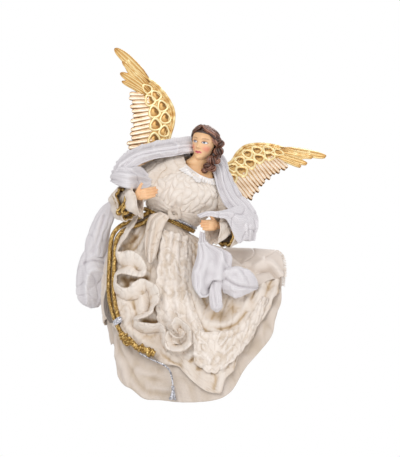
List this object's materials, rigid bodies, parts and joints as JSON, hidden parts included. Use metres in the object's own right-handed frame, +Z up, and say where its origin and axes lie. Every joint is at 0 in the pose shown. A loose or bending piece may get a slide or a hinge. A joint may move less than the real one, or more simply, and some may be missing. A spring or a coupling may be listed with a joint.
{
  "type": "hanging angel ornament",
  "caption": "Flying angel doll to hang up: cast head, hands and gold wings on a padded wire figure in a ruffled cream gown with a white gauze shawl, gold cord and silver tassel.",
  "frame": {"origin": "the point inside the top of the hanging ring that rests on the hook", "axes": "+Z up as it hangs, -Y the way the figure faces, +X towards the figure's left wing"},
  "size_m": [0.2132, 0.1342, 0.3034],
  "materials": {
    "painted_skin": "hand-painted cast resin, satin",
    "painted_hair": "hand-painted cast resin, satin",
    "gold_paint": "antique gold paint on cast resin",
    "cream_cloth": "stiffened cream linen and satin",
    "lace": "cream lace",
    "sheer_cloth": "sheer ecru chiffon",
    "white_gauze": "open white gauze",
    "gold_thread": "metallic gold braid and cord",
    "silver_thread": "metallic silver cord",
    "stuffing": "loose polyester filling",
    "steel": "plain wire and screws",
    "pine": "bare softwood"
  },
  "bodies": {
    "figure": {"hanger_plate": "steel", "right_wing": "gold_paint", "left_wing": "gold_paint", "back_block": "pine", "hanger_screw_upper": "steel", "hanger_screw_lower": "steel", "right_wing_screw_upper": "steel", "right_wing_screw_lower": "steel", "left_wing_screw_upper": "steel", "left_wing_screw_lower": "steel", "head_bust": "painted_skin", "hair": "painted_hair", "spine_wire": "steel", "arm_wire": "steel", "torso_core": "stuffing", "bodice": "cream_cloth", "neck_frill": "lace", "right_arm_padding": "stuffing", "right_cuff": "lace", "right_sleeve": "cream_cloth", "right_sleeve_braid": "gold_thread", "left_arm_padding": "stuffing", "left_cuff": "lace", "left_sleeve": "cream_cloth", "left_sleeve_braid": "gold_thread", "underskirt": "sheer_cloth", "overskirt": "cream_cloth", "skirt_wadding": "stuffing", "hem_wire": "steel", "belt_braid": "gold_thread", "waist_sash": "cream_cloth", "sash_knot": "cream_cloth", "gold_cord_outer": "gold_thread", "gold_cord_inner": "gold_thread", "gold_wrap": "gold_thread", "gold_knot": "gold_thread", "silver_cord": "silver_thread", "taupe_ribbon": "sheer_cloth", "lace_panel": "lace", "cascade_ruffle": "cream_cloth", "rose_ruffle": "cream_cloth", "train": "cream_cloth", "shawl_right": "white_gauze", "shawl_left": "white_gauze", "shawl_back": "white_gauze", "shawl_tail_right": "white_gauze", "shawl_tail_left": "white_gauze"},
    "ring": {"hanging_ring": "steel"},
    "right_hand": {"right_hand": "painted_skin", "right_hand_wire": "steel"},
    "left_hand": {"left_hand": "painted_skin", "left_hand_wire": "steel"},
    "tassel": {"silver_tassel": "silver_thread"}
  },
  "joints": [
    {"name": "ring_swing", "type": "hinge", "parent": "figure", "child": "ring", "pos_m": [0, 0, -0.0107], "axis": [-0.9703, -0.2419, 0], "range_deg": [0, 170]},
    {"name": "right_wrist", "type": "hinge", "parent": "figure", "child": "right_hand", "pos_m": [-0.052, -0.056, -0.0265], "axis": [0.281, 0.9597, 0], "range_deg": [-20, 20]},
    {"name": "left_wrist", "type": "hinge", "parent": "figure", "child": "left_hand", "pos_m": [0.0175, -0.056, -0.0515], "axis": [0.6549, -0.7557, 0], "range_deg": [-20, 5]},
    {"name": "tassel_swing", "type": "hinge", "parent": "figure", "child": "tassel", "pos_m": [-0.0204, -0.0662, -0.1863], "axis": [-1, 0, 0], "range_deg": [0, 40]}
  ]
}
